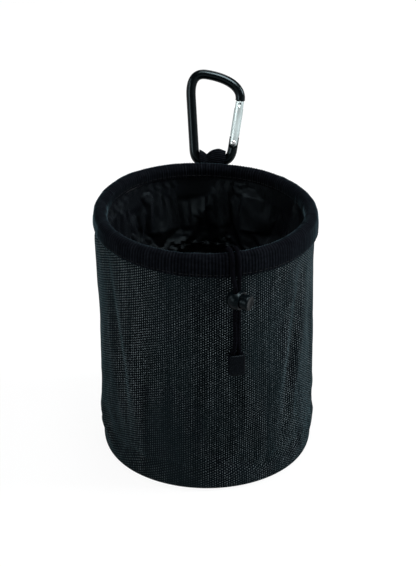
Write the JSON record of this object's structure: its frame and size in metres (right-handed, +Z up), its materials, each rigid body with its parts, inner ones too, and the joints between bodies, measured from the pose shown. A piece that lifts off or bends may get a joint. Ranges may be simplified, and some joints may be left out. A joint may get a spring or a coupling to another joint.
{
  "type": "peg bag",
  "caption": "Round cloth peg bag with a stiff base, padded ribbed rim, tucked-in drawstring collar with a ball cord lock, and a carabiner on a tape loop to hang it from a washing line.",
  "frame": {"origin": "middle of the base's underside, on the surface the bag stands on", "axes": "+Z up to the mouth, front with the cord lock towards -Y, hanging loop and carabiner towards +Y"},
  "size_m": [0.148, 0.1894, 0.2297],
  "materials": {
    "wall_cloth": "charcoal two-tone weave, matte",
    "ribbed_tape": "near-black ribbed tape",
    "collar_nylon": "smooth black nylon with a slight sheen",
    "base_board": "plain stiffening board",
    "rim_padding": "closed-cell foam",
    "rim_hoop": "plain plastic rod",
    "drawcord": "black braided cord",
    "lock_plastic": "black, half gloss",
    "cord_end_plastic": "black, satin",
    "spring_steel": "plain steel",
    "black_rod": "black anodised, half gloss",
    "bright_gate": "bright satin"
  },
  "bodies": {
    "bag": {"base_panel": "wall_cloth", "base_board": "base_board", "base_lining": "collar_nylon", "base_seam_tape": "ribbed_tape", "wall_panel": "wall_cloth", "back_seam_tape": "ribbed_tape", "rim_padding": "rim_padding", "rim_hoop": "rim_hoop", "rim_binding": "ribbed_tape", "collar": "collar_nylon", "drawcord_loop": "drawcord", "drawcord_tail_left": "drawcord", "drawcord_tail_right": "drawcord", "cord_end_front": "cord_end_plastic", "cord_end_back": "cord_end_plastic", "hanging_loop": "ribbed_tape"},
    "carabiner": {"carabiner_body": "black_rod"},
    "gate": {"carabiner_gate": "bright_gate", "gate_pivot_rivet": "spring_steel", "gate_latch_pin": "spring_steel", "gate_spring": "spring_steel"},
    "gate_plunger": {"gate_plunger": "spring_steel"},
    "cord_lock": {"cord_lock_ball": "lock_plastic", "cord_lock_spring": "spring_steel"},
    "lock_button": {"cord_lock_button": "lock_plastic"}
  },
  "joints": [
    {"name": "carabiner_swing", "type": "hinge", "parent": "bag", "child": "carabiner", "pos_m": [0.0035, 0.07945, 0.1695], "axis": [-1, 0, 0], "range_deg": [-50, 155]},
    {"name": "gate_open", "type": "hinge", "parent": "carabiner", "child": "gate", "pos_m": [0.0187, 0.0839, 0.18172], "axis": [0, -0.9397, 0.342], "range_deg": [0, 30], "stiffness_Nm_per_rad": 0.06, "springref_deg": -17.19},
    {"name": "gate_plunger_push", "type": "slide", "parent": "gate", "child": "gate_plunger", "axis": [0.153, 0.338, 0.9286], "range_m": [0, 0.0012], "deforming": ["gate_spring"]},
    {"name": "cord_lock_slide", "type": "slide", "parent": "bag", "child": "cord_lock", "axis": [0, 0, 1], "range_m": [-0.024, 0.0015]},
    {"name": "lock_button_press", "type": "slide", "parent": "cord_lock", "child": "lock_button", "axis": [-0.8508, 0.5255, 0], "range_m": [0, 0.0012], "stiffness_N_per_m": 400, "springref_m": -0.003, "deforming": ["cord_lock_spring"]}
  ],
  "couplings": [
    {"joint": "gate_plunger_push", "follows": "gate_open", "m_per_rad": 0.0021}
  ]
}
